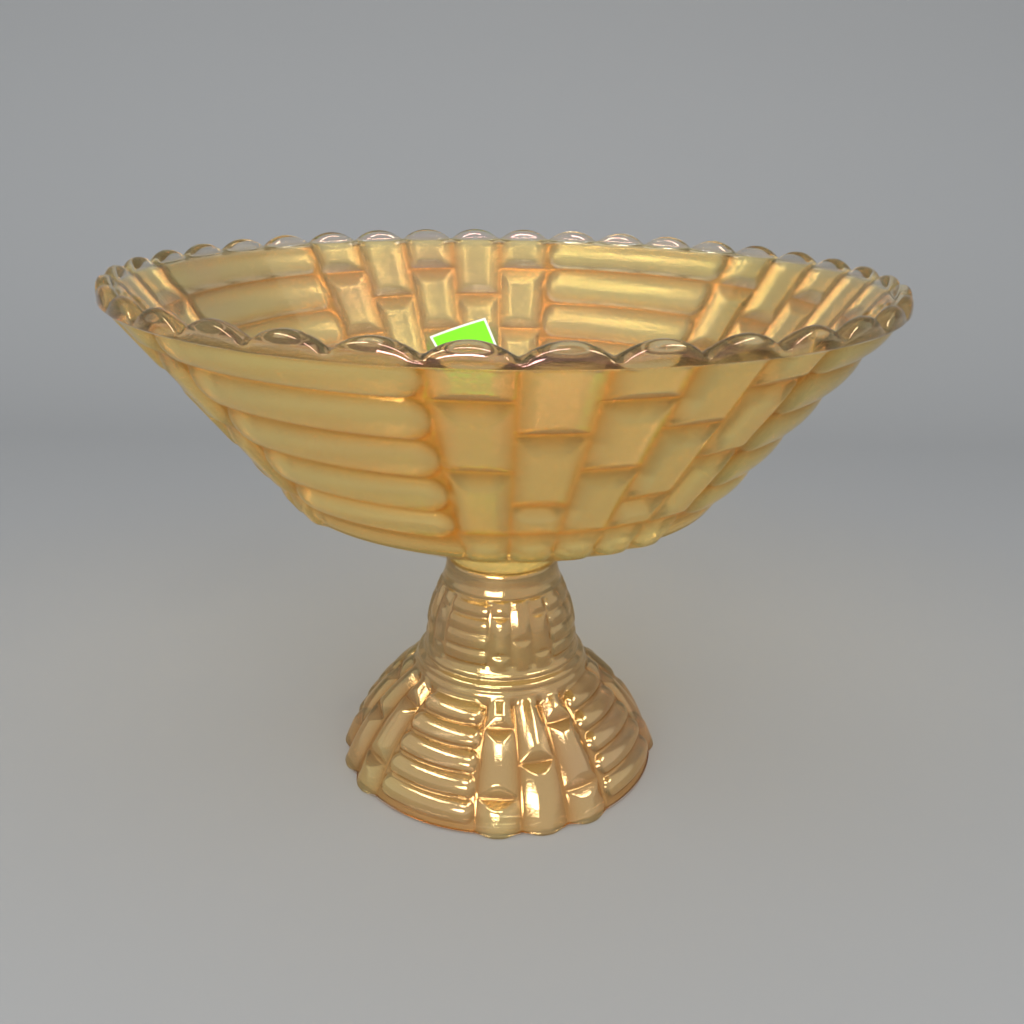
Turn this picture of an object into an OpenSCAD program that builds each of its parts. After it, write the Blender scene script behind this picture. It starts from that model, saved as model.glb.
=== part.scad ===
// Two-piece pressed-glass fruit bowl: a scalloped bowl whose collar sits on a hollow flared stand.
// The pattern is basket work: upright reeds and level ribs that change over every quarter turn.
// The floor is z = 0 and the axis of both pieces is the Z axis.

/* [Bowl] */
// Outer radius of the rim
rim_r = 130.4; // [120:0.1:140]
// Height of the notches between the rim scallops
rim_z = 183; // [180:1:190]
// Number of scallops round the rim, nine to a quarter turn, one at the head of each reed
scallops = 36; // [36:36:36]
// Height of a scallop above the notches
scallop_h = 4.2; // [2:0.1:6]
// Height of the plain band under the scallops
rim_band_h = 2.5; // [2:0.5:4]
// Radius lost by the wall for each millimetre down from the rim
wall_slope = 0.76; // [0.7:0.01:0.8]
// Depth below the rim at which the wall turns under
wall_h = 71; // [68:1:74]
// Thickness of the wall at the crest of a reed, measured level
wall_t = 7.2; // [6.5:0.1:9]

/* [Bowl pattern] */
// Angle taken by one upright reed, five to a group
bowl_reed_a = 10; // [8:0.5:10]
// Depth of the valleys between the reeds
reed_valley = 2.4; // [1.5:0.1:3]
// Half width of the valleys
reed_valley_half = 4; // [2:0.5:5]
// Distance between the level ribs, measured down from the rim
rib_pitch = 13.4; // [12:0.1:14]
// Rise of a rib above the valleys beside it
rib_rise = 2.3; // [1:0.1:3]
// Depth of the cross cuts in the reeds
cut_depth = 2; // [1:0.1:2.4]
// Half width of the cross cuts
cut_half = 4.4; // [3:0.1:5]

/* [Collar] */
// Radius of the collar under the bowl
collar_r = 20; // [19:0.1:20.2]
// Radius of the spigot under the collar
spigot_r = 16.4; // [15.5:0.1:16.8]
// Height of the spigot
spigot_h = 4; // [3:0.5:5]
// Room round and under the spigot in its socket
spigot_gap = 0.35; // [0.3:0.05:0.6]

/* [Stand] */
// Height of the stand
stand_h = 82; // [81:0.5:83]
// Thickness of the stand's wall
stand_t = 4.8; // [4.4:0.1:5.5]
// Angle taken by one reed of the stand, three to a group
stand_reed_a = 16.67; // [14:0.1:17]
// Depth of the valleys between the reeds of the foot
foot_valley = 2; // [1:0.1:2.5]
// Level ribs in one group on the foot
foot_ribs = 5; // [4:1:6]
// Level ribs in one group on the bulb
bulb_ribs = 4; // [3:1:5]

/* [Price sticker] */
// Length of the sticker
sticker_l = 26; // [18:1:30]
// Width of the sticker
sticker_w = 18; // [12:1:20]
// Thickness of the sticker and its glue
sticker_t = 0.3; // [0.2:0.05:0.5]
// Angle of the sticker's middle, anticlockwise from +X
sticker_a = 84.4; // [0:0.1:360]
// Depth of the sticker's middle below the rim
sticker_d = 41; // [30:1:50]
// Turn of the sticker on the wall
sticker_turn = -19; // [-45:1:45]

/* [Hidden] */
$fn = 96;

amber = [0.93, 0.66, 0.26];
champagne = [0.88, 0.74, 0.50];
green = [0.49, 0.93, 0.13];
quarter = 90;
clear = 4;

// Bowl wall. A depth d is measured down from the notches of the rim.
crest_r0 = rim_r + 0.6;
wall_a = atan(wall_slope);
spigot_z = stand_h - spigot_h;
function crest_r(d) = crest_r0 - wall_slope * d;
function inner_r(d) = crest_r(d) - wall_t;

// The reeds are cut in turn, like the strips of a basket.
bowl_reeds = 5;
odd_cuts = [14, 37.5, 62.6];
even_cuts = [24.3, 50.2, 62.4];
bowl_rib_group_a = quarter - bowl_reeds * bowl_reed_a;
rib_marks = [rim_band_h, for (i = [1:5]) i * rib_pitch];

// The foot and the bulb are arcs. Their ribs, valleys and cuts sit at angles about the arcs' centres.
foot_c = [-14.36, -26.18];
foot_arc = 80.72;
foot_rib_a0 = 22.3;
foot_rib_a1 = 53.2;
bulb_c = [-22.25, 49];
bulb_arc = 51;
bulb_rib_a0 = 0;
bulb_rib_a1 = 27.4;
bulb_valley = 0.9;
stand_reeds = 3;
stand_rib_group_a = quarter - stand_reeds * stand_reed_a;
foot_cut_depth = 1.9;
foot_odd_cuts = [29, 46.5];
foot_even_cuts = [37.5];
bulb_cut_depth = 0.8;
bulb_odd_cuts = [5.1, 21.2];
bulb_even_cuts = [11.3];

// Point at angle a on an arc of radius r about c
function on_arc(c, r, a) = c + r * [cos(a), sin(a)];

// Points of an arc from angle a0 to a1
function arc_points(c, r, a0, a1, n) = [for (i = [0:n]) on_arc(c, r, a0 + (a1 - a0) * i / n)];

// Point of the bowl wall at depth d, sunk straight into the glass
function wall_point(d, sunk = 0) = [crest_r(d) - sunk * cos(wall_a), rim_z - d + sunk * sin(wall_a)];

// Round-backed level ribs of the bowl wall between the given depths, as outline points
function wall_ribs(marks, steps = 6) =
    [for (i = [0:len(marks) - 2], k = [0:steps - 1])
        wall_point(marks[i] + (marks[i + 1] - marks[i]) * k / steps, rib_rise * (1 - sin(180 * k / steps)))];

// Round-backed ribs along an arc, as outline points
function arc_ribs(c, r, a0, a1, count, rise, steps = 6) =
    let (step = (a1 - a0) / count)
    [for (i = [0:count - 1], k = [0:steps - 1])
        on_arc(c, r - rise * (1 - sin(180 * k / steps)), a0 + step * (i + k / steps))];

// Copies for the four quarter turns
module quarters() {
    for (q = [0:3])
        rotate([0, 0, quarter * q])
            children();
}

// Copies at the middles of count reeds, each taking angle a; $reed is the copy's number
module at_reeds(count, a) {
    for ($reed = [0:count - 1])
        rotate([0, 0, ($reed - (count - 1) / 2) * a])
            children();
}

// Triangle whose point reaches depth below Y = 0 and whose mouth is past half at Y = 0
module notch(depth, half) {
    grow = (depth + clear) / depth;
    polygon([[0, -depth], [half * grow, clear], [-half * grow, clear]]);
}

// A cut straight across a reed. The surface is at X = 0, facing +X, and the cut's middle at Z = 0.
module cross_cut(depth, half, width) {
    rotate([90, 0, 0])
        linear_extrude(width, center = true)
            rotate(-90)
                notch(depth, half);
}

// Bowl without its pattern, before it is hollowed
module bowl_core() {
    band_d = rim_band_h - 0.4;
    rotate_extrude()
        polygon([
            [0, spigot_z + 2],
            [spigot_r - 4, spigot_z + 2],
            [spigot_r - 4, spigot_z],
            [spigot_r - 0.6, spigot_z],
            [spigot_r, spigot_z + 0.6],
            [spigot_r, stand_h],
            [collar_r, stand_h],
            [collar_r, rim_z - 94],
            [collar_r + 2, rim_z - 92.4],
            [45, rim_z - 85.8],
            [60, rim_z - 79.3],
            [69, rim_z - 75.4],
            [crest_r(wall_h) - 2.2, rim_z - wall_h - 1.8],
            [crest_r(wall_h), rim_z - wall_h],
            [crest_r(band_d), rim_z - band_d],
            [rim_r, rim_z - band_d + 0.8],
            [rim_r, rim_z],
            [0, rim_z]
        ]);
}

// Inside of the bowl
module bowl_inside() {
    rotate_extrude()
        polygon([
            [0, rim_z - 85.6],
            [14, rim_z - 85.2],
            [30, rim_z - 83.2],
            [46, rim_z - 79.4],
            [58, rim_z - 75.1],
            [inner_r(wall_h) + 0.6, rim_z - wall_h],
            [inner_r(66), rim_z - 66],
            [inner_r(-clear), rim_z + clear],
            [0, rim_z + clear]
        ]);
}

// A valley between two reeds of the bowl
module bowl_valley() {
    length = (wall_h - rim_band_h) / cos(wall_a) + clear;
    translate([crest_r(rim_band_h), 0, rim_z - rim_band_h])
        rotate([0, 180 + wall_a, 0])
            linear_extrude(length)
                rotate(90)
                    notch(reed_valley, reed_valley_half);
}

// A cross cut in a reed of the bowl at depth d
module bowl_cut(d) {
    translate([crest_r(d), 0, rim_z - d])
        rotate([0, wall_a, 0])
            cross_cut(cut_depth, cut_half, 2 * crest_r(d) * sin(bowl_reed_a / 2) - 1);
}

// What is taken off the bowl wall to leave one group of level ribs
module bowl_rib_cut() {
    below = rib_marks[5];
    rotate([0, 0, -bowl_rib_group_a / 2])
        rotate_extrude(angle = bowl_rib_group_a)
            polygon(concat(
                wall_ribs(rib_marks),
                [wall_point(below, rib_rise), wall_point(wall_h, rib_rise / 2), wall_point(wall_h, -clear),
                 wall_point(rim_band_h, -clear)]
            ));
}

// The row of half-round scallops that stands on the rim
module scallop_row() {
    overlap = 0.4;
    half = rim_r * sin(180 / scallops) + overlap;
    lobe_r = (half * half + scallop_h * scallop_h) / (2 * scallop_h);
    lobe_z = rim_z + scallop_h;
    intersection() {
        rotate_extrude()
            polygon([
                [inner_r(0) + 1, rim_z - 0.5],
                [rim_r, rim_z - 0.5],
                [rim_r, rim_z + 2.2],
                [rim_r - 1.8, lobe_z + 0.5],
                [rim_r - 3.6, lobe_z + 0.5],
                [inner_r(0) + 1, rim_z + 2.2]
            ]);
        union()
            for (i = [0:scallops - 1])
                rotate([0, 0, i * 360 / scallops])
                    translate([rim_r - 10, 0, lobe_z - lobe_r])
                        rotate([0, 90, 0])
                            cylinder(h = 14, r = lobe_r);
    }
}

module bowl() {
    color(amber) {
        difference() {
            bowl_core();
            bowl_inside();
            quarters() {
                at_reeds(bowl_reeds + 1, bowl_reed_a)
                    bowl_valley();
                at_reeds(bowl_reeds, bowl_reed_a)
                    for (d = $reed % 2 == 0 ? odd_cuts : even_cuts)
                        bowl_cut(d);
                rotate([0, 0, quarter / 2])
                    bowl_rib_cut();
            }
        }
        scallop_row();
    }
}

// Stand without its pattern, before it is hollowed
module stand_core() {
    rotate_extrude()
        polygon(concat(
            [[0, 0], [foot_c.x + foot_arc * cos(19.4) - 1, 0]],
            arc_points(foot_c, foot_arc, 19.4, 54.8, 12),
            [[32.4, 41.2], [32.2, 43.2], [30.6, 43.9], [29.6, 44.3], [29.9, 45.6], [28.8, 46.4]],
            arc_points(bulb_c, bulb_arc, 0, 27.6, 8),
            [[22.4, 72.8], [22.5, 73.3], [21.9, 74.6], [21.3, 76.5], [20.9, 79], [20.7, stand_h - 0.7],
             [20.3, stand_h], [0, stand_h]]
        ));
}

// Socket for the bowl's spigot, the throat below it and the hollow of the bulb and the foot
module stand_hollow() {
    throat_r = 14;
    socket_r = spigot_r + spigot_gap;
    socket_z = spigot_z - spigot_gap;
    rotate_extrude()
        polygon(concat(
            [[0, -clear], [foot_c.x + (foot_arc - stand_t) * cos(16), -clear]],
            arc_points(foot_c, foot_arc - stand_t, 20.2, 55, 8),
            [[24.6, 44]],
            arc_points(bulb_c, bulb_arc - stand_t, 0, 24, 5),
            [[throat_r, 71.5], [throat_r, socket_z], [socket_r, socket_z], [socket_r, stand_h + clear],
             [0, stand_h + clear]]
        ));
}

// A valley between two reeds of the stand: straight notches laid end to end along an arc
module arc_valley(c, r, a0, a1, depth, half) {
    steps = 4;
    step = (a1 - a0) / steps;
    chord = 2 * r * sin(step / 2);
    for (i = [0:steps - 1]) {
        a = a0 + step * i;
        p = on_arc(c, r, a);
        translate([p.x, 0, p.y])
            rotate([0, -a - step / 2, 0])
                linear_extrude(chord)
                    rotate(-90)
                        notch(depth, half);
    }
}

// A cross cut in a reed of the stand, at angle a about the arc's centre
module arc_cut(c, r, a, depth, half, width) {
    p = on_arc(c, r, a);
    translate([p.x, 0, p.y])
        rotate([0, -a, 0])
            cross_cut(depth, half, width);
}

// What is taken off an arc of the stand to leave one group of level ribs
module arc_rib_cut(c, r, a0, a1, count, rise) {
    rotate([0, 0, -stand_rib_group_a / 2])
        rotate_extrude(angle = stand_rib_group_a)
            polygon(concat(
                arc_ribs(c, r, a0, a1, count, rise),
                [on_arc(c, r - rise, a1)],
                arc_points(c, r + clear / 2, a1, a0, 6)
            ));
}

module stand() {
    color(champagne)
        difference() {
            stand_core();
            stand_hollow();
            quarters() {
                at_reeds(stand_reeds + 1, stand_reed_a) {
                    arc_valley(foot_c, foot_arc, 10, foot_rib_a1, foot_valley, 3.4);
                    arc_valley(bulb_c, bulb_arc, bulb_rib_a0, bulb_rib_a1, bulb_valley, 1.5);
                }
                at_reeds(stand_reeds, stand_reed_a) {
                    for (a = $reed == 1 ? foot_even_cuts : foot_odd_cuts)
                        arc_cut(foot_c, foot_arc, a, foot_cut_depth, 3.6, 2 * on_arc(foot_c, foot_arc, a).x
                            * sin(stand_reed_a / 2) - 1);
                    for (a = $reed == 1 ? bulb_even_cuts : bulb_odd_cuts)
                        arc_cut(bulb_c, bulb_arc, a, bulb_cut_depth, 1.8, 6.5);
                }
                rotate([0, 0, quarter / 2]) {
                    arc_rib_cut(foot_c, foot_arc, foot_rib_a0, foot_rib_a1, foot_ribs, 1.9);
                    arc_rib_cut(bulb_c, bulb_arc, bulb_rib_a0, bulb_rib_a1, bulb_ribs, bulb_valley);
                }
            }
        }
}

module price_sticker() {
    top = 16;
    low = 64;
    color(green)
        intersection() {
            rotate_extrude()
                polygon([
                    [inner_r(low) - sticker_t, rim_z - low],
                    [inner_r(low), rim_z - low],
                    [inner_r(top), rim_z - top],
                    [inner_r(top) - sticker_t, rim_z - top]
                ]);
            rotate([0, 0, sticker_a])
                translate([inner_r(sticker_d), 0, rim_z - sticker_d])
                    rotate([0, wall_a, 0])
                        rotate([sticker_turn, 0, 0])
                            cube([20, sticker_l, sticker_w], center = true);
        }
}

stand();
bowl();
price_sticker();
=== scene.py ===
"""A two-piece lustre-glass fruit bowl: basket-work bowl, hollow flared stand and a blank price sticker."""

import math

import bmesh
import bpy
import numpy as np
from mathutils import Matrix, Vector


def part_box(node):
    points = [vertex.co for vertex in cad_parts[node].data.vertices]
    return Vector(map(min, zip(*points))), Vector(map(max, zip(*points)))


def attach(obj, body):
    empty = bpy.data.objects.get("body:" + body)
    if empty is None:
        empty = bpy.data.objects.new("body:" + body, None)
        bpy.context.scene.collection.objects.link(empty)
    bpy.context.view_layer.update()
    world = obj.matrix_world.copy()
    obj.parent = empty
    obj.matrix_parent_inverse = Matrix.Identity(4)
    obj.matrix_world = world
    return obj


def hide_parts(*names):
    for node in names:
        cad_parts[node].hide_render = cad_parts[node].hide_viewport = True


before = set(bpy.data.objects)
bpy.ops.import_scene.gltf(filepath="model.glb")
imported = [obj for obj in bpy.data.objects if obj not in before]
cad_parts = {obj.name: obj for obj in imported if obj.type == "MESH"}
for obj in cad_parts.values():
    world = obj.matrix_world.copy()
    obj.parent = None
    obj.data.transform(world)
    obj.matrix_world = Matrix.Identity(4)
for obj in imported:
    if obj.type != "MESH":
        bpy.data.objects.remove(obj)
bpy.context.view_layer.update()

MM = 0.001
QUARTER = 90.0

# ---------------------------------------------------------------- sizes, in millimetres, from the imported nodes


def node_mm(node):
    """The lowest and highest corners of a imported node, in millimetres."""
    return [np.array(corner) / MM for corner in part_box(node)]


bowl_lo, bowl_hi = node_mm("bowl")
_, stand_hi = node_mm("stand")

RIM_R = bowl_hi[0]
SCALLOP_H = 4.2
SCALLOPS = 36
RIM_Z = bowl_hi[2] - SCALLOP_H
SPIGOT_Z = bowl_lo[2]
SPIGOT_R = 16.4
SOCKET_GAP = 0.35
COLLAR_R = 20.0
STAND_H = stand_hi[2]
SKIN = 0.04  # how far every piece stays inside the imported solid

# The bowl's wall is a cone; a depth d is measured down from the notches of the rim.
CREST_R0 = RIM_R + 0.6 - SKIN
WALL_SLOPE = 0.76
WALL_A = math.atan(WALL_SLOPE)
WALL_T = 7.2
WALL_H = 71.0
BAND_H = 2.5
BOWL_REED_A = 10.0
BOWL_REEDS = 5
REED_VALLEY = 2.7
BOWL_CUT_DEPTH = 2.9
BOWL_CUT_HALF = 6.0
ODD_CUTS = (14.0, 37.5, 62.6)
EVEN_CUTS = (24.3, 50.2, 62.4)
RIB_VALLEYS = (2.5, 13.8, 27.2, 40.6, 54.0, 64.8)
RIB_RISE = 2.9
RIB_END = 7.0
REED_SHOULDER = 1.15  # how the sides of a reed fall away: 1 is straight

# The foot and the bulb are arcs, and their pattern is laid out by angle about the arcs' centres.
FOOT_C = np.array((-14.36, -26.18))
FOOT_ARC = 80.72 - SKIN
BULB_C = np.array((-22.25, 49.0))
BULB_ARC = 51.0 - SKIN
STAND_T = 4.8
STAND_REED_A = 50.0 / 3
STAND_REEDS = 3
FOOT_HEM = 19.9
FOOT_RIBS = np.linspace(22.3, 53.2, 6)
BULB_RIBS = np.linspace(0.0, 27.4, 5)
FOOT_CUTS = ((29.0, 46.5), (37.5,))
BULB_CUTS = ((5.1, 21.2), (11.3,))


def crest_r(d):
    """Radius of the bowl's reeds at depth d."""
    return CREST_R0 - WALL_SLOPE * d


def inner_r(d):
    """Radius of the inside of the bowl at depth d."""
    return crest_r(d) - WALL_T


def on_arc(centre, radius, angle):
    """Point at an angle in degrees on an arc in the plane of the axis."""
    return centre + radius * np.array((math.cos(math.radians(angle)), math.sin(math.radians(angle))))


# ---------------------------------------------------------------- outlines


class Outline:
    """Rows of a turned body: where each row lies, which way is out, and its place in the pattern."""

    def __init__(self):
        self.rows = []

    def add(self, r, z, out=(0.0, 0.0), kind="plain", at=0.0, side="outside"):
        self.rows.append((r, z, out[0], out[1], kind, at, side))

    def line(self, p, q, count, **more):
        """Rows from p to q, without p."""
        for i in range(1, count + 1):
            t = i / count
            self.add(p[0] + (q[0] - p[0]) * t, p[1] + (q[1] - p[1]) * t, **more)

    def curve(self, points, count, **more):
        """Rows on a smooth curve through a few points, without the first."""
        xy = np.array(points, float)
        ends = np.vstack((2 * xy[0] - xy[1], xy, 2 * xy[-1] - xy[-2]))
        for k in range(len(xy) - 1):
            a, b, c, d = ends[k : k + 4]
            for i in range(1, count + 1):
                t = i / count
                square, cube = 2 * a - 5 * b + 4 * c - d, 3 * b - a - 3 * c + d
                p = 0.5 * (2 * b + (c - a) * t + square * t**2 + cube * t**3)
                self.add(p[0], p[1], **more)


def levels(marks, step):
    """Levels that pass through every mark and are about step apart."""
    out = [marks[0]]
    for a, b in zip(marks, marks[1:]):
        n = max(1, round((b - a) / step))
        out += [a + (b - a) * i / n for i in range(1, n + 1)]
    return out


def bowl_outline():
    """The bowl's section, from the middle of its floor up the inside, over the rim and down to the collar."""
    o = Outline()
    o.add(0.0, RIM_Z - 85.6, side="inside")
    floor = [(0.0, RIM_Z - 85.6), (14.0, RIM_Z - 85.1), (30.0, RIM_Z - 83.1), (46.0, RIM_Z - 79.3),
             (58.0, RIM_Z - 75.0), (inner_r(70.0) + 0.4, RIM_Z - 70.0), (inner_r(65.0), RIM_Z - 65.0)]
    o.curve(floor, 2, side="inside")
    o.line((inner_r(65.0), RIM_Z - 65.0), (inner_r(8.0), RIM_Z - 8.0), 5, side="inside")
    top = SCALLOP_H - SKIN
    in_r, out_r = inner_r(0.0), RIM_R - SKIN
    up_inside = [(in_r - 2.1, -3.0), (in_r - 0.2, -0.5), (in_r + 0.7, 0.0)]
    in_face = [(in_r + 1.1, top * 0.3), (in_r + 1.4, top * 0.62), (in_r + 2.1, top * 0.88)]
    tip = [(in_r + 3.2, top), (out_r - 2.1, top)]
    out_face = [(out_r - 1.0, top * 0.88), (out_r - 0.3, top * 0.62), (out_r, top * 0.2), (out_r, -0.6),
                (out_r, -1.6), (out_r - 0.5, -2.2)]
    for part, out in ((up_inside, 0.0), (in_face, -1.0), (tip, 0.0), (out_face, 1.0)):
        for r, h in part:
            o.add(r, RIM_Z + h, out=(out, 0.0), kind="rim", at=h, side="inside")
    normal = (math.cos(WALL_A), -math.sin(WALL_A))
    marks = sorted({BAND_H, *ODD_CUTS, *EVEN_CUTS, *RIB_VALLEYS, WALL_H})
    for d in levels(marks, 0.72):
        o.add(crest_r(d), RIM_Z - d, out=normal, kind="wall", at=d)
    turn = [(crest_r(WALL_H), RIM_Z - WALL_H), (crest_r(WALL_H) - 0.9, RIM_Z - WALL_H - 1.1),
            (crest_r(WALL_H) - 2.4, RIM_Z - WALL_H - 1.8), (69.0, RIM_Z - 75.3), (60.0, RIM_Z - 79.2),
            (45.0, RIM_Z - 85.6)]
    for k, (r, z) in enumerate(turn[1:], 1):
        p = turn[k - 1]
        n = 3 if k > 2 else 2
        for i in range(1, n + 1):
            t = i / n
            q = (p[0] + (r - p[0]) * t, p[1] + (z - p[1]) * t)
            o.add(q[0], q[1], out=(0.45, -0.9), kind="turn", at=(q[0] - 52.0) / (crest_r(WALL_H) - 52.0))
    collar_r, spigot_r = COLLAR_R - SKIN, SPIGOT_R - SKIN
    under = [(45.0, RIM_Z - 85.6), (34.0, RIM_Z - 89.3), (collar_r + 2.0, RIM_Z - 92.3),
             (collar_r, RIM_Z - 94.4)]
    o.curve(under, 2)
    foot = [under[-1], (collar_r, STAND_H + 3.0), (collar_r, STAND_H + 0.6),
            (collar_r - 0.5, STAND_H + SKIN), (spigot_r + 0.3, STAND_H + SKIN), (spigot_r, STAND_H - 0.3),
            (spigot_r, SPIGOT_Z + 0.7), (spigot_r - 0.6, SPIGOT_Z + SKIN), (spigot_r - 3.6, SPIGOT_Z + SKIN),
            (spigot_r - 4.0, SPIGOT_Z + 0.6), (spigot_r - 4.5, SPIGOT_Z + 2.0)]
    for p, q in zip(foot, foot[1:]):
        o.line(p, q, 1)
    o.line(foot[-1], (0.0, SPIGOT_Z + 2.0), 3)
    return o.rows


def stand_outline():
    """The stand's section: up the hollow inside, over the socket and down the outside to the foot, closed."""
    o = Outline()
    socket_r = SPIGOT_R + SOCKET_GAP + SKIN
    socket_z = SPIGOT_Z - SOCKET_GAP - SKIN
    throat_r = 14.0 + SKIN
    in_foot = FOOT_ARC - STAND_T
    for a in np.linspace(20.4, 55.0, 9):
        p = on_arc(FOOT_C, in_foot, a)
        o.add(p[0] - SKIN, max(p[1], 0.3), side="inside")
    p = o.rows[-1]
    o.curve([(p[0], p[1]), (25.2, 42.2), (24.1, 45.5), tuple(on_arc(BULB_C, BULB_ARC - STAND_T, 1.0))], 2,
            side="inside")
    for a in np.linspace(5.0, 24.0, 5):
        p = on_arc(BULB_C, BULB_ARC - STAND_T, a)
        o.add(p[0] - SKIN, p[1], side="inside")
    p = o.rows[-1]
    top = STAND_H - SKIN
    neck = [(p[0], p[1]), (18.6, 69.4), (15.4, 71.2), (throat_r, 73.2), (throat_r, socket_z - 0.6),
            (throat_r + 0.6, socket_z), (socket_r - 0.5, socket_z), (socket_r, socket_z + 0.5),
            (socket_r, top - 0.4), (socket_r + 0.4, top), (20.0, top), (20.55, top - 0.6), (20.85, 79.0),
            (21.25, 76.5), (21.85, 74.6), (22.3, 73.5), (22.3, 73.1), (22.1, 72.8), (22.4, 72.55)]
    for k, (a, b) in enumerate(zip(neck, neck[1:])):
        o.line(a, b, 2 if k in (0, 3, 7, 11, 12, 13) else 1, side="inside" if k < 9 else "outside")
    marks = sorted({-1.0, *BULB_RIBS, *BULB_CUTS[0], *BULB_CUTS[1]}, reverse=True)
    for a in levels([-m for m in marks], 0.76):
        out = (math.cos(math.radians(-a)), math.sin(math.radians(-a)))
        p = on_arc(BULB_C, BULB_ARC, -a)
        o.add(p[0], p[1], out=out, kind="bulb", at=-a)
    p = o.rows[-1]
    rings = [(p[0], p[1]), (28.6, 46.6), (29.2, 46.1), (29.75, 45.4), (29.4, 44.7), (29.7, 44.2), (30.9, 43.9),
             (31.7, 43.3), (32.1, 42.4), (31.9, 41.6), (32.3, 41.0), (33.0, 39.9)]
    for a, b in zip(rings, rings[1:]):
        o.line(a, b, 1)
    marks = sorted({FOOT_HEM, 53.9, *FOOT_RIBS, *FOOT_CUTS[0], *FOOT_CUTS[1]}, reverse=True)
    for a in levels([-m for m in marks], 0.5):
        out = (math.cos(math.radians(-a)), math.sin(math.radians(-a)))
        p = on_arc(FOOT_C, FOOT_ARC, -a)
        o.add(p[0], p[1], out=out, kind="foot", at=-a)
    p = o.rows[-1]
    first = o.rows[0]
    hem = ((p[0] + 0.1, 1.0, 1.0), (p[0], 0.5, 1.0), (p[0] - 0.4, 0.15, 1.0), (p[0] - 1.0, SKIN, 0.9))
    for r, z, lift in hem:
        o.add(r, z, out=(lift, -0.3 * lift), kind="foot", at=FOOT_HEM)
    o.add(first[0] + 0.8, SKIN)
    return o.rows


# ---------------------------------------------------------------- pattern


def soft_max(a, b, blend):
    """The larger of a and b, with the change rounded over."""
    return 0.5 * (a + b + np.sqrt((a - b) ** 2 + blend**2))


def group_angle(theta):
    """Angle from the middle of the nearest reed group, in degrees."""
    return (theta + QUARTER / 2) % QUARTER - QUARTER / 2


def reed_place(phi, count, width):
    """Number of the reed at an angle within its group, and the place across it from -1 to 1."""
    number = np.clip(np.floor(phi / width + count / 2), 0, count - 1)
    across = (phi - (number - (count - 1) / 2) * width) * 2 / width
    return number, across


def reed_depth(across, flat, crown):
    """Depth of a reed's surface below its crest, as a share of the valley: a crowned top with sloping sides."""
    side = np.clip((np.abs(across) - flat) / (1 - flat), 0, None)
    return crown * across**2 + (1 - crown) * side**REED_SHOULDER


def cut_depth(at, marks, depth, half):
    """Depth of straight cross cuts at the given marks."""
    out = np.full_like(at, -9.0)
    for mark in marks:
        out = np.maximum(out, depth * (1 - np.abs(at - mark) / half))
    return out


def rib_depth(at, marks, along, length, end, rise):
    """Depth of level ribs between marks below their crests, rounded at both ends."""
    marks = np.asarray(marks)
    k = np.clip(np.searchsorted(marks, at, side="right") - 1, 0, len(marks) - 2)
    middle = (marks[k] + marks[k + 1]) / 2
    across = (at - middle) * 2 / (marks[k + 1] - marks[k])
    past = np.clip((np.abs(along) - (length - end)) / end, 0, None)
    q = np.clip(across**2 + past**2, 0, 1)
    return rise * (1 - np.sqrt(1 - 0.96 * q)) / 0.8


def wall_depth(theta, d):
    """Depth of the bowl's pattern below the crest cone."""
    phi = group_angle(theta)
    number, across = reed_place(phi, BOWL_REEDS, BOWL_REED_A)
    shrink = crest_r(d) / CREST_R0
    valley = REED_VALLEY * (0.45 + 0.55 * shrink)
    reeds = valley * reed_depth(across, 0.48, 0.32)
    slope = math.cos(WALL_A)
    cut_odd = cut_depth(d / slope, [m / slope for m in ODD_CUTS], BOWL_CUT_DEPTH, BOWL_CUT_HALF)
    cut_even = cut_depth(d / slope, [m / slope for m in EVEN_CUTS], BOWL_CUT_DEPTH, BOWL_CUT_HALF)
    cuts = np.where(number % 2 == 0, cut_odd, cut_even) * (0.5 + 0.5 * shrink)
    reeds = soft_max(reeds, cuts, 0.10)
    edge = BOWL_REEDS * BOWL_REED_A / 2
    away = QUARTER / 2 - np.abs(phi)
    radius = crest_r(d)
    along = np.radians(away) * radius
    length = math.radians(QUARTER / 2 - edge) * radius - 0.8
    ribs = rib_depth(d, RIB_VALLEYS, along, length, RIB_END, RIB_RISE)
    below = np.clip((d - RIB_VALLEYS[-1]) / 4.0, 0, 1)
    ribs = ribs * (1 - below) + 1.2 * below
    out = np.where(np.abs(phi) <= edge, reeds, ribs)
    top = np.clip((d - BAND_H) / 1.2, 0, 1)
    return out * top


def arc_depth(theta, angle, arc, centre, marks, cuts, valley, depth, half, end, rise, flat, crown):
    """Depth of the stand's pattern below an arc of its outline."""
    phi = group_angle(theta)
    number, across = reed_place(phi, STAND_REEDS, STAND_REED_A)
    metre = math.radians(1) * arc
    reeds = valley * reed_depth(across, flat, crown)
    cut_outer = cut_depth(angle * metre, [m * metre for m in cuts[0]], depth, half)
    cut_middle = cut_depth(angle * metre, [m * metre for m in cuts[1]], depth, half)
    reeds = soft_max(reeds, np.where(number == 1, cut_middle, cut_outer), 0.12)
    edge = STAND_REEDS * STAND_REED_A / 2
    radius = centre[0] + arc * np.cos(np.radians(angle))
    along = np.radians(QUARTER / 2 - np.abs(phi)) * radius
    length = math.radians(QUARTER / 2 - edge) * radius - 0.5
    ribs = rib_depth(angle, marks, along, length, end, rise)
    return np.where(np.abs(phi) <= edge, reeds, ribs)


def foot_depth(theta, angle):
    """Depth of the foot's pattern."""
    depth = arc_depth(theta, angle, FOOT_ARC, FOOT_C, FOOT_RIBS, FOOT_CUTS, 2.6, 2.3, 4.4, 4.0, 2.1, 0.2, 0.45)
    top = np.clip((FOOT_RIBS[-1] + 0.6 - angle) / 1.4, 0, 1)
    return depth * top


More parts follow.
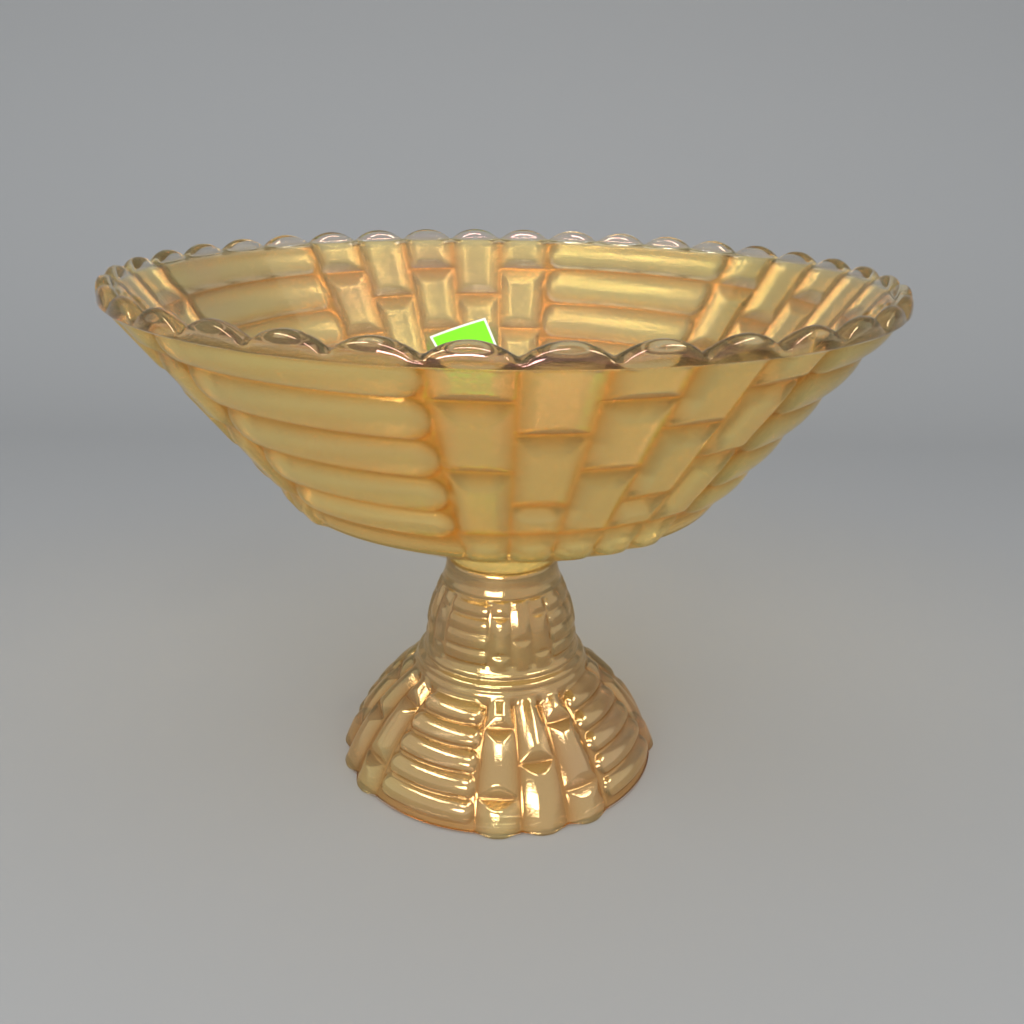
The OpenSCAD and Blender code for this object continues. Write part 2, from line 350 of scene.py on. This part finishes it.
def bulb_depth(theta, angle):
    """Depth of the bulb's pattern."""
    depth = arc_depth(theta, angle, BULB_ARC, BULB_C, BULB_RIBS, BULB_CUTS, 0.9, 0.85, 2.0, 1.6, 0.9, 0.3, 0.4)
    top = np.clip((BULB_RIBS[-1] + 0.4 - angle) / 0.8, 0, 1)
    return depth * top * np.clip((angle - BULB_RIBS[0] + 0.8) / 0.8, 0, 1)


def scallop(theta):
    """Height of the scalloped rim at an angle, from 0 in a notch to 1 at a tip."""
    half = RIM_R * math.sin(math.pi / SCALLOPS)
    lobe = (half**2 + SCALLOP_H**2) / (2 * SCALLOP_H)
    across = ((theta + 180 / SCALLOPS) % (360 / SCALLOPS)) * SCALLOPS / 180 - 1
    rise = np.sqrt(lobe**2 - (across * half) ** 2) - (lobe - SCALLOP_H)
    return rise / SCALLOP_H


# ---------------------------------------------------------------- turned bodies


def turned(name, rows, steps, closed):
    """A glass piece: the outline spun about the Z axis, then pressed with the pattern."""
    bm = bmesh.new()
    row_layer = bm.verts.layers.int.new("row")
    verts = []
    for k, row in enumerate(rows):
        v = bm.verts.new((row[0] * MM, 0.0, row[1] * MM))
        v[row_layer] = k
        verts.append(v)
    pairs = list(zip(verts, verts[1:])) + ([(verts[-1], verts[0])] if closed else [])
    edges = [bm.edges.new(pair) for pair in pairs]
    bmesh.ops.spin(bm, geom=verts + edges, cent=(0, 0, 0), axis=(0, 0, 1), angle=math.tau, steps=steps,
                   use_merge=True)
    bmesh.ops.remove_doubles(bm, verts=bm.verts, dist=1e-6)
    bmesh.ops.recalc_face_normals(bm, faces=bm.faces)
    mesh = bpy.data.meshes.new(name)
    bm.to_mesh(mesh)
    bm.free()
    press(mesh, rows)
    mesh.shade_smooth()
    piece = bpy.data.objects.new(name, mesh)
    bpy.context.collection.objects.link(piece)
    return piece


def press(mesh, rows):
    """Moves the vertices of a turned body into the pattern, and keeps the pattern's depth as an attribute."""
    count = len(mesh.vertices)
    co = np.empty(count * 3)
    mesh.vertices.foreach_get("co", co)
    co = co.reshape(-1, 3)
    row = np.empty(count, np.int32)
    mesh.attributes["row"].data.foreach_get("value", row)
    theta = np.degrees(np.arctan2(co[:, 1], co[:, 0]))
    table = np.array([r[:4] for r in rows])
    kinds = np.array([r[4] for r in rows])[row]
    at = np.array([r[5] for r in rows])[row]
    r, z, out_r, out_z = table[row].T
    depth = np.zeros(count)
    for kind, rule in (("wall", wall_depth), ("foot", foot_depth), ("bulb", bulb_depth)):
        some = kinds == kind
        depth[some] = rule(theta[some], at[some])
    some = kinds == "turn"  # the reeds run on round the turn and fade under the bowl
    depth[some] = wall_depth(theta[some], np.full(some.sum(), WALL_H)) * np.clip(at[some], 0, 1) ** 0.8
    some = kinds == "rim"
    tip = scallop(theta[some])
    above = np.clip(at[some], 0, None)  # the notches sink to the rim's own floor, which slopes outward
    across = (r[some] - inner_r(0.0)) / (RIM_R - inner_r(0.0))
    floor = (0.5 - 1.4 * across) * np.clip(above, 0, 1)
    z[some] -= (above - floor) * (1 - tip)
    depth[some] = (1 - tip) ** 1.5 * 0.8 * np.clip((at[some] + 3.0) / 3.0, 0, 1)
    r = r - out_r * depth
    z = z - out_z * depth
    angle = np.radians(theta)
    moved = np.column_stack((r * np.cos(angle), r * np.sin(angle), z)) * MM
    mesh.vertices.foreach_set("co", moved.ravel())
    # The hollow depth also sets the painted shade in the lustre colour; the rim gets none.
    depth[kinds == "rim"] = 0
    lobe = np.where(kinds == "rim", np.clip((at + 1.5) / 2.5, 0, 1), 0)
    for label, values in (("hollow", depth), ("lobe", lobe)):
        layer = mesh.attributes.new(label, "FLOAT", "POINT")
        layer.data.foreach_set("value", values.astype(np.float32))
    inside = np.array([r[6] == "inside" for r in rows])
    faces = np.empty(len(mesh.loops), np.int32)
    mesh.loops.foreach_get("vertex_index", faces)
    starts = np.empty(len(mesh.polygons), np.int32)
    mesh.polygons.foreach_get("loop_start", starts)
    share = np.add.reduceat(inside[row[faces]].astype(float), starts)
    totals = np.empty(len(mesh.polygons), np.int32)
    mesh.polygons.foreach_get("loop_total", totals)
    mesh.polygons.foreach_set("material_index", (share / totals > 0.99).astype(np.int32))
    mesh.update()


def finish_piece(piece, body, node, materials):
    """Gives a piece its materials and its place in the frame."""
    for material in materials:
        piece.data.materials.append(material)
    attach(piece, body)
    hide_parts(node)


# ---------------------------------------------------------------- shader groups


def group(name, inputs, outputs):
    """An empty shader node group with named sockets. Returns it with its input and output nodes."""
    tree = bpy.data.node_groups.new(name, "ShaderNodeTree")
    for label, kind, value in inputs:
        socket = tree.interface.new_socket(label, in_out="INPUT", socket_type=kind)
        socket.default_value = value
    for label, kind in outputs:
        tree.interface.new_socket(label, in_out="OUTPUT", socket_type=kind)
    return tree, tree.nodes.new("NodeGroupInput"), tree.nodes.new("NodeGroupOutput")


def add(tree, kind, **settings):
    """A node with its settings and input values: names with spaces are given as Name_With_Underscores."""
    node = tree.nodes.new(kind)
    for key, value in settings.items():
        if hasattr(node, key):
            setattr(node, key, value)
        else:
            node.inputs[key.replace("_", " ")].default_value = value
    return node


def ramp(tree, stops, fac):
    """A colour ramp with the given (place, colour) stops, fed by fac."""
    node = tree.nodes.new("ShaderNodeValToRGB")
    element = node.color_ramp.elements
    while len(element) > 1:
        element.remove(element[-1])
    element[0].position, element[0].color = stops[0][0], (*stops[0][1], 1.0)
    for place, colour in stops[1:]:
        element.new(place).color = (*colour, 1.0)
    tree.links.new(fac, node.inputs["Fac"])
    return node.outputs["Color"]


LOBE_COLOUR = (0.99, 0.95, 0.90)


def lustre_group():
    """Colour of the lustre: a film that drifts between gold, green, orange and rose, with painted shade in the
    hollows: a darker orange where the pattern is deep.
    """
    tree, given, out = group(
        "lustre",
        (("Gold", "NodeSocketColor", (0.9, 0.6, 0.25, 1)), ("Painted Shade", "NodeSocketColor", (0.8, 0.3, 0.05, 1)),
         ("Rose", "NodeSocketColor", (0.9, 0.5, 0.5, 1)), ("Green", "NodeSocketColor", (0.7, 0.8, 0.3, 1)),
         ("Drift", "NodeSocketFloat", 12.0), ("Hollow Scale", "NodeSocketFloat", 0.35),
         ("Amount", "NodeSocketFloat", 0.5)),
        (("Color", "NodeSocketColor"), ("Hollow", "NodeSocketFloat")))
    link = tree.links.new
    place = add(tree, "ShaderNodeTexCoord")
    drift = add(tree, "ShaderNodeTexNoise", Detail=2.0, Roughness=0.5)
    link(place.outputs["Object"], drift.inputs["Vector"])
    link(given.outputs["Drift"], drift.inputs["Scale"])
    other = add(tree, "ShaderNodeTexNoise", Detail=2.0, Roughness=0.5)
    link(drift.outputs["Color"], other.inputs["Vector"])
    other.inputs["Scale"].default_value = 3.0
    rose = add(tree, "ShaderNodeMapRange", From_Min=0.55, From_Max=0.75)
    link(drift.outputs["Fac"], rose.inputs["Value"])
    green = add(tree, "ShaderNodeMapRange", From_Min=0.45, From_Max=0.28)
    link(drift.outputs["Fac"], green.inputs["Value"])
    first = add(tree, "ShaderNodeMix", data_type="RGBA")
    shares = []
    for mask in (rose, green):
        share = add(tree, "ShaderNodeMath", operation="MULTIPLY")
        link(mask.outputs["Result"], share.inputs[0])
        link(given.outputs["Amount"], share.inputs[1])
        shares.append(share.outputs[0])
    link(shares[0], first.inputs["Factor"])
    link(given.outputs["Gold"], first.inputs["A"])
    link(given.outputs["Rose"], first.inputs["B"])
    second = add(tree, "ShaderNodeMix", data_type="RGBA")
    link(shares[1], second.inputs["Factor"])
    link(first.outputs["Result"], second.inputs["A"])
    link(given.outputs["Green"], second.inputs["B"])
    # Painted shade: a darker colour is mixed in where the pattern is deep, standing in for the shade in its
    # hollows.
    hollow = add(tree, "ShaderNodeAttribute", attribute_name="hollow")
    depth = add(tree, "ShaderNodeMath", operation="MULTIPLY", use_clamp=True)
    link(hollow.outputs["Fac"], depth.inputs[0])
    link(given.outputs["Hollow Scale"], depth.inputs[1])
    narrow = add(tree, "ShaderNodeMath", operation="POWER")
    link(depth.outputs[0], narrow.inputs[0])
    narrow.inputs[1].default_value = 1.5
    third = add(tree, "ShaderNodeMix", data_type="RGBA")
    link(narrow.outputs[0], third.inputs["Factor"])
    link(second.outputs["Result"], third.inputs["A"])
    link(given.outputs["Painted Shade"], third.inputs["B"])
    lobe = add(tree, "ShaderNodeAttribute", attribute_name="lobe")
    pale = add(tree, "ShaderNodeMix", data_type="RGBA")
    pale.inputs["B"].default_value = (*LOBE_COLOUR, 1.0)
    link(lobe.outputs["Fac"], pale.inputs["Factor"])
    link(third.outputs["Result"], pale.inputs["A"])
    link(pale.outputs["Result"], out.inputs["Color"])
    link(depth.outputs[0], out.inputs["Hollow"])
    return tree


def stretch_group():
    """Height of the stretch finish: fine level streaks and a speckle that catches the light."""
    tree, given, out = group(
        "stretch",
        (("Streaks", "NodeSocketFloat", 0.5), ("Speckle", "NodeSocketFloat", 0.5)),
        (("Height", "NodeSocketFloat"), ("Speckle", "NodeSocketFloat")))
    link = tree.links.new
    place = add(tree, "ShaderNodeTexCoord")
    level = add(tree, "ShaderNodeMapping")
    level.inputs["Scale"].default_value = (60.0, 60.0, 1300.0)
    link(place.outputs["Object"], level.inputs["Vector"])
    streak = add(tree, "ShaderNodeTexNoise", Scale=1.0, Detail=3.0, Roughness=0.6)
    link(level.outputs["Vector"], streak.inputs["Vector"])
    grain = add(tree, "ShaderNodeTexNoise", Scale=1500.0, Detail=2.0, Roughness=0.7)
    link(place.outputs["Object"], grain.inputs["Vector"])
    a = add(tree, "ShaderNodeMath", operation="MULTIPLY")
    link(streak.outputs["Fac"], a.inputs[0])
    link(given.outputs["Streaks"], a.inputs[1])
    b = add(tree, "ShaderNodeMath", operation="MULTIPLY_ADD")
    link(grain.outputs["Fac"], b.inputs[0])
    link(given.outputs["Speckle"], b.inputs[1])
    link(a.outputs[0], b.inputs[2])
    link(b.outputs[0], out.inputs["Height"])
    link(grain.outputs["Fac"], out.inputs["Speckle"])
    return tree


LUSTRE = lustre_group()
STRETCH = stretch_group()


def glass(name, gold, painted_shade, rose, green, rough, metal, film, clarity, streaks, speckle, bump, shade, sheen,
          drift, amount=0.6, hollow=0.35):
    """Lustre glass: tinted glass under a thin metallic film. Lamps shine through it as through thin glass.

    gold, rose and green are the colours of the lustre, and the darker colour of the hollows is painted shade;
    shade is what passes of a lamp's light, sheen tints the gloss, film is the film's thickness in nanometres,
    and drift is the scale of the colour's drift.
    """
    material = bpy.data.materials.new(name)
    material.use_nodes = True
    tree = material.node_tree
    tree.nodes.clear()
    link = tree.links.new
    out = add(tree, "ShaderNodeOutputMaterial")
    shader = add(tree, "ShaderNodeBsdfPrincipled", Metallic=metal, IOR=1.5, Transmission_Weight=clarity,
                 Thin_Film_Thickness=film, Thin_Film_IOR=1.7)
    shader.inputs["Specular Tint"].default_value = (*sheen, 1.0)
    colour = add(tree, "ShaderNodeGroup", node_tree=LUSTRE)
    for label, value in (("Gold", gold), ("Painted Shade", painted_shade), ("Rose", rose), ("Green", green)):
        colour.inputs[label].default_value = (*value, 1.0)
    colour.inputs["Drift"].default_value = drift
    colour.inputs["Amount"].default_value = amount
    colour.inputs["Hollow Scale"].default_value = hollow
    link(colour.outputs["Color"], shader.inputs["Base Color"])
    finish = add(tree, "ShaderNodeGroup", node_tree=STRETCH)
    finish.inputs["Streaks"].default_value = streaks
    finish.inputs["Speckle"].default_value = speckle
    lumps = add(tree, "ShaderNodeBump", Strength=bump, Distance=0.0002)
    link(finish.outputs["Height"], lumps.inputs["Height"])
    link(lumps.outputs["Normal"], shader.inputs["Normal"])
    gloss = add(tree, "ShaderNodeMapRange", To_Min=rough * 0.7, To_Max=rough * 1.3)
    link(finish.outputs["Speckle"], gloss.inputs["Value"])
    link(gloss.outputs["Result"], shader.inputs["Roughness"])
    clear = add(tree, "ShaderNodeBsdfTransparent")
    clear.inputs["Color"].default_value = (*shade, 1.0)
    path = add(tree, "ShaderNodeLightPath")
    mix = add(tree, "ShaderNodeMixShader")
    link(path.outputs["Is Shadow Ray"], mix.inputs["Fac"])
    link(shader.outputs["BSDF"], mix.inputs[1])
    link(clear.outputs["BSDF"], mix.inputs[2])
    link(mix.outputs["Shader"], out.inputs["Surface"])
    return material


# The darker hollow colour of each glass is painted shade.
marichampagne_out = glass(
    "marichampagne_outside", gold=(1.0, 0.81, 0.34), painted_shade=(0.95, 0.38, 0.05), rose=(1.0, 0.64, 0.26),
    green=(1.0, 0.94, 0.30), rough=0.05, metal=0.32, film=262.0, clarity=0.88, streaks=1.0, speckle=1.0,
    bump=0.5, shade=(0.97, 0.93, 0.84), sheen=(1.0, 0.80, 0.45), drift=12.0)
marichampagne_in = glass(
    "marichampagne_inside", gold=(1.0, 0.80, 0.52), painted_shade=(1.0, 0.60, 0.25), rose=(1.0, 0.62, 0.54),
    green=(1.0, 0.89, 0.52), rough=0.03, metal=0.02, film=290.0, clarity=1.0, streaks=0.2, speckle=0.2,
    bump=0.1, shade=(0.97, 0.93, 0.84), sheen=(1.0, 0.93, 0.90), drift=16.0, amount=0.8)
champagne_out = glass(
    "champagne_outside", gold=(0.80, 0.55, 0.27), painted_shade=(0.60, 0.24, 0.06), rose=(0.84, 0.52, 0.34),
    green=(0.80, 0.66, 0.28), rough=0.08, metal=0.40, film=262.0, clarity=0.92, streaks=0.5, speckle=0.6,
    bump=0.3, shade=(0.96, 0.92, 0.84), sheen=(1.0, 0.86, 0.62), drift=25.0)
champagne_in = glass(
    "champagne_inside", gold=(0.80, 0.56, 0.30), painted_shade=(0.76, 0.46, 0.20), rose=(0.80, 0.52, 0.34),
    green=(0.78, 0.64, 0.30), rough=0.06, metal=0.08, film=290.0, clarity=1.0, streaks=0.2, speckle=0.2,
    bump=0.1, shade=(0.96, 0.92, 0.84), sheen=(1.0, 0.90, 0.80), drift=25.0)

BOWL_STEPS = 576
STAND_STEPS = 540

bowl = turned("bowl_glass", bowl_outline(), BOWL_STEPS, closed=False)
finish_piece(bowl, "bowl", "bowl", (marichampagne_out, marichampagne_in))
stand = turned("stand_glass", stand_outline(), STAND_STEPS, closed=True)
finish_piece(stand, "stand", "stand", (champagne_out, champagne_in))


# ---------------------------------------------------------------- price sticker

STICKER_L, STICKER_W, STICKER_T = 26.0, 18.0, 0.24
STICKER_A = math.radians(84.4)
STICKER_D = 41.0
STICKER_TURN = math.radians(-19.0)
STICKER_EDGE = 0.9


def paper(name, colour, painted_glow):
    """Label paper with a faint fibre grain, and a painted glow: the paper gives out its own colour as light."""
    material = bpy.data.materials.new(name)
    material.use_nodes = True
    tree = material.node_tree
    link = tree.links.new
    shader = tree.nodes["Principled BSDF"]
    place = add(tree, "ShaderNodeTexCoord")
    fibre = add(tree, "ShaderNodeTexNoise", Scale=900.0, Detail=4.0)
    link(place.outputs["Object"], fibre.inputs["Vector"])
    tint = ramp(tree, ((0.3, [c * 0.92 for c in colour]), (0.7, colour)), fibre.outputs["Fac"])
    link(tint, shader.inputs["Base Color"])
    # Painted glow: emission of the paper's own colour, though it is no lamp.
    if painted_glow:
        link(tint, shader.inputs["Emission Color"])
        shader.inputs["Emission Strength"].default_value = painted_glow
    lumps = add(tree, "ShaderNodeBump", Strength=0.2, Distance=0.00005)
    link(fibre.outputs["Fac"], lumps.inputs["Height"])
    link(lumps.outputs["Normal"], shader.inputs["Normal"])
    shader.inputs["Roughness"].default_value = 0.7
    return material


def price_sticker():
    """A blank paper label that follows the inside of the bowl, with a white edge."""
    bm = bmesh.new()
    bmesh.ops.create_grid(bm, x_segments=26, y_segments=18, size=0.5)
    for v in bm.verts:
        v.co.x *= STICKER_L - 0.3
        v.co.y *= STICKER_W - 0.3
    for face in bm.faces:
        p = face.calc_center_median()
        near_edge = min(STICKER_L / 2 - abs(p.x), STICKER_W / 2 - abs(p.y))
        face.material_index = 1 if near_edge < STICKER_EDGE else 0
    for v in bm.verts:
        along = v.co.x * math.cos(STICKER_TURN) - v.co.y * math.sin(STICKER_TURN)
        up = v.co.x * math.sin(STICKER_TURN) + v.co.y * math.cos(STICKER_TURN)
        d = STICKER_D - up * math.cos(WALL_A)
        r = inner_r(d) - 0.03
        a = STICKER_A + along / inner_r(STICKER_D)
        v.co = (r * math.cos(a), r * math.sin(a), RIM_Z - d)
    bmesh.ops.recalc_face_normals(bm, faces=bm.faces)
    middle = bm.faces[:][len(bm.faces) // 2]
    if middle.normal.dot(middle.calc_center_median()) > 0:
        bmesh.ops.reverse_faces(bm, faces=bm.faces)
    bmesh.ops.solidify(bm, geom=bm.faces[:], thickness=-STICKER_T)
    bmesh.ops.recalc_face_normals(bm, faces=bm.faces)
    bmesh.ops.scale(bm, vec=(MM, MM, MM), verts=bm.verts)
    mesh = bpy.data.meshes.new("price_sticker")
    bm.to_mesh(mesh)
    bm.free()
    piece = bpy.data.objects.new("price_sticker_label", mesh)
    bpy.context.collection.objects.link(piece)
    return piece


sticker = price_sticker()
# The green label carries a painted glow of strength 0.15.
finish_piece(sticker, "bowl", "price_sticker",
             (paper("sticker_green", (0.20, 0.83, 0.01), 0.15), paper("sticker_white", (0.9, 0.9, 0.88), 0.0)))

# ---------------------------------------------------------------- studio


def floor_and_back():
    """A pale floor that curves up into a backdrop."""
    bm = bmesh.new()
    near, start, bend, top, half_width = -1.6, 0.42, 0.35, 1.6, 2.2
    run = [(near, 0.0), (start, 0.0)]
    for a in range(6, 91, 6):
        turned_up = math.radians(a)
        run.append((start + bend * math.sin(turned_up), bend * (1 - math.cos(turned_up))))
    run.append((start + bend, top))
    turn = Matrix.Rotation(math.radians(CAMERA_AZIMUTH), 4, "Z")
    verts = [bm.verts.new((-half_width, y, z)) for y, z in run]
    edges = [bm.edges.new(pair) for pair in zip(verts, verts[1:])]
    swept = bmesh.ops.extrude_edge_only(bm, edges=edges)["geom"]
    moved = [g for g in swept if isinstance(g, bmesh.types.BMVert)]
    bmesh.ops.translate(bm, verts=moved, vec=(2 * half_width, 0, 0))
    bmesh.ops.transform(bm, matrix=turn, verts=bm.verts)
    bmesh.ops.recalc_face_normals(bm, faces=bm.faces)
    mesh = bpy.data.meshes.new("studio_floor")
    bm.to_mesh(mesh)
    bm.free()
    mesh.shade_smooth()
    piece = bpy.data.objects.new("studio_floor", mesh)
    bpy.context.collection.objects.link(piece)
    material = bpy.data.materials.new("studio_paper")
    material.use_nodes = True
    shader = material.node_tree.nodes["Principled BSDF"]
    shader.inputs["Base Color"].default_value = (0.335, 0.333, 0.328, 1.0)
    shader.inputs["Roughness"].default_value = 0.75
    mesh.materials.append(material)


def area_light(name, place, aim, size, power):
    """A rectangular soft light at a place, aimed at a point, both turned with the camera."""
    data = bpy.data.lights.new(name, "AREA")
    data.shape = "RECTANGLE"
    data.size, data.size_y = size
    data.energy = power
    lamp = bpy.data.objects.new(name, data)
    bpy.context.collection.objects.link(lamp)
    turn = Matrix.Rotation(math.radians(CAMERA_AZIMUTH), 4, "Z")
    start, end = (turn @ Matrix.Translation(p) for p in (place, aim))
    lamp.location = start.translation
    lamp.rotation_euler = (end.translation - start.translation).to_track_quat("-Z", "Y").to_euler()


# The camera stands a little to the left of a reed group and looks down at the bowl.
CAMERA_AZIMUTH = -16.44
CAMERA_BACK = 0.3558
CAMERA_UP = 0.0495
CAMERA_PITCH = 20.655
CAMERA_ROLL = 1.0
CAMERA_YAW = 0.55
CAMERA_LENS = 36.3

floor_and_back()
for name, azimuth, away, height, size, power in (
    ("strip_front", -6, 0.90, 1.02, (0.75, 0.12), 3.8),
    ("strip_left", -62, 0.90, 1.02, (0.65, 0.12), 3.2),
    ("strip_right", 66, 0.90, 1.02, (0.65, 0.12), 3.2),
    ("strip_low", -14, 1.00, 0.30, (0.50, 0.10), 3.5),
):
    turn = math.radians(azimuth)
    area_light(name, (math.sin(turn) * away, -math.cos(turn) * away, height), (0, 0, 0.1), size, power)

world = bpy.data.worlds.new("studio")
world.use_nodes = True
world.node_tree.nodes["Background"].inputs["Color"].default_value = (0.62, 0.66, 0.71, 1.0)
world.node_tree.nodes["Background"].inputs["Strength"].default_value = 1.02
bpy.context.scene.world = world

camera_data = bpy.data.cameras.new("camera")
camera_data.lens = CAMERA_LENS
camera_data.sensor_width = 36.0
camera = bpy.data.objects.new("camera", camera_data)
bpy.context.collection.objects.link(camera)
camera.matrix_world = (
    Matrix.Rotation(math.radians(CAMERA_AZIMUTH), 4, "Z")
    @ Matrix.Translation((0.0, -CAMERA_BACK, RIM_Z * MM + CAMERA_UP))
    @ Matrix.Rotation(math.radians(-CAMERA_YAW), 4, "Z")
    @ Matrix.Rotation(math.radians(90.0 - CAMERA_PITCH), 4, "X")
    @ Matrix.Rotation(math.radians(CAMERA_ROLL), 4, "Z")
)
bpy.context.scene.camera = camera
bpy.context.scene.view_settings.view_transform = "Standard"
